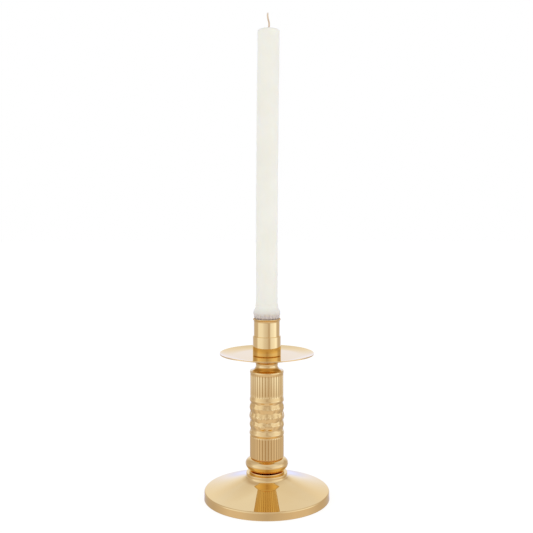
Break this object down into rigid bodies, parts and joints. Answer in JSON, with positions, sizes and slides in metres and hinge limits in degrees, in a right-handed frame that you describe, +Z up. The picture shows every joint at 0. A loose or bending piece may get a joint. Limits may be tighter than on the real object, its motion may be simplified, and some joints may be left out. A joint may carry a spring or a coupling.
{
  "type": "candlestick",
  "caption": "Polished brass table candlestick with a wide drip pan, a reeded and bossed column, a round base and a tall tapered-foot dinner candle.",
  "frame": {"origin": "centre of the underside, on the surface that the candlestick stands on", "axes": "+Z up along the candlestick's own axis; X and Y are equal, as it is a body of revolution"},
  "size_m": [0.1302, 0.1302, 0.4936],
  "materials": {
    "polished_brass": "mirror polished",
    "weight_iron": "rough casting",
    "felt": "felt",
    "fastener_steel": "zinc plated",
    "candle_wax": "smooth wax with a soft sheen",
    "wick_cotton": "waxed braided cotton"
  },
  "bodies": {
    "candlestick": {"base_shell": "polished_brass", "base_weight": "weight_iron", "base_felt": "felt", "base_collar": "polished_brass", "bead": "polished_brass", "reeded_sleeve": "polished_brass", "neck": "polished_brass", "drip_pan": "polished_brass", "socket_cup": "polished_brass", "socket_tube": "polished_brass", "socket_screw": "fastener_steel", "tie_rod": "fastener_steel", "rod_washer": "fastener_steel", "lock_washer": "fastener_steel", "rod_nut": "fastener_steel"},
    "candle": {"candle": "candle_wax", "wick": "wick_cotton"}
  },
  "joints": [
    {"name": "candle_lift", "type": "slide", "parent": "candlestick", "child": "candle", "axis": [0, 0, 1], "range_m": [0, 0.045]}
  ]
}
